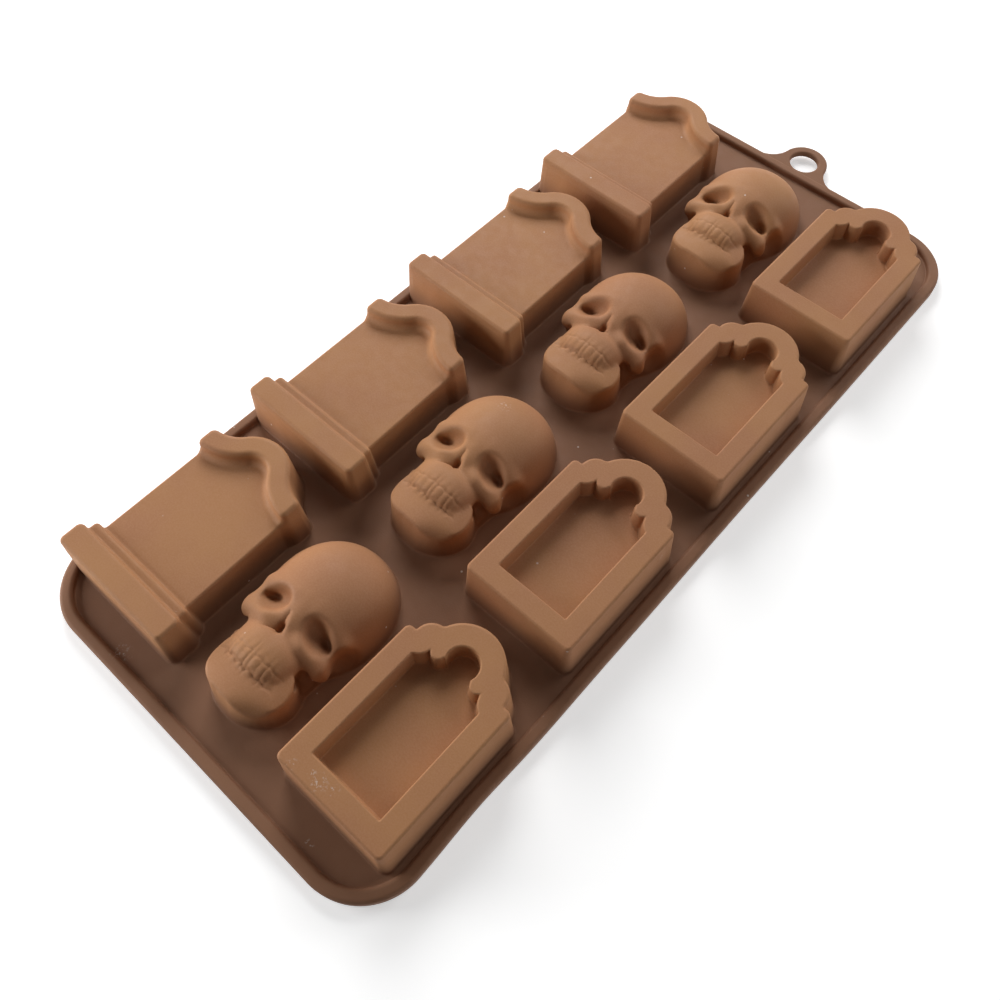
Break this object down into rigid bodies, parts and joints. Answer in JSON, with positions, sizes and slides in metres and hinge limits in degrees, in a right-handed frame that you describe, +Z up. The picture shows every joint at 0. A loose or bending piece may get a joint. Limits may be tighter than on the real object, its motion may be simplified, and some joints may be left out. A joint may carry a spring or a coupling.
{
  "type": "chocolate mould",
  "caption": "Flat silicone chocolate mould with rows of tombstone, skull and arched frame cups, a beaded edge and a hanging tab.",
  "frame": {"origin": "centre of the bounding box on the plane that the mould rests on", "axes": "+Z up, from the resting face to the cups' tops; +Y along the length, towards the hanging tab; +X across, from the tombstones to the frames"},
  "size_m": [0.105, 0.2354, 0.0143],
  "materials": {
    "silicone": "matte, slightly velvety moulded silicone"
  },
  "bodies": {
    "root": {"sheet": "silicone", "rim_bead": "silicone", "hanging_tab": "silicone", "tombstone_cup_1": "silicone", "tombstone_cup_2": "silicone", "tombstone_cup_3": "silicone", "tombstone_cup_4": "silicone", "skull_cup_1": "silicone", "skull_cup_2": "silicone", "skull_cup_3": "silicone", "skull_cup_4": "silicone", "frame_cup_1": "silicone", "frame_cup_2": "silicone", "frame_cup_3": "silicone", "frame_cup_4": "silicone"}
  },
  "joints": []
}
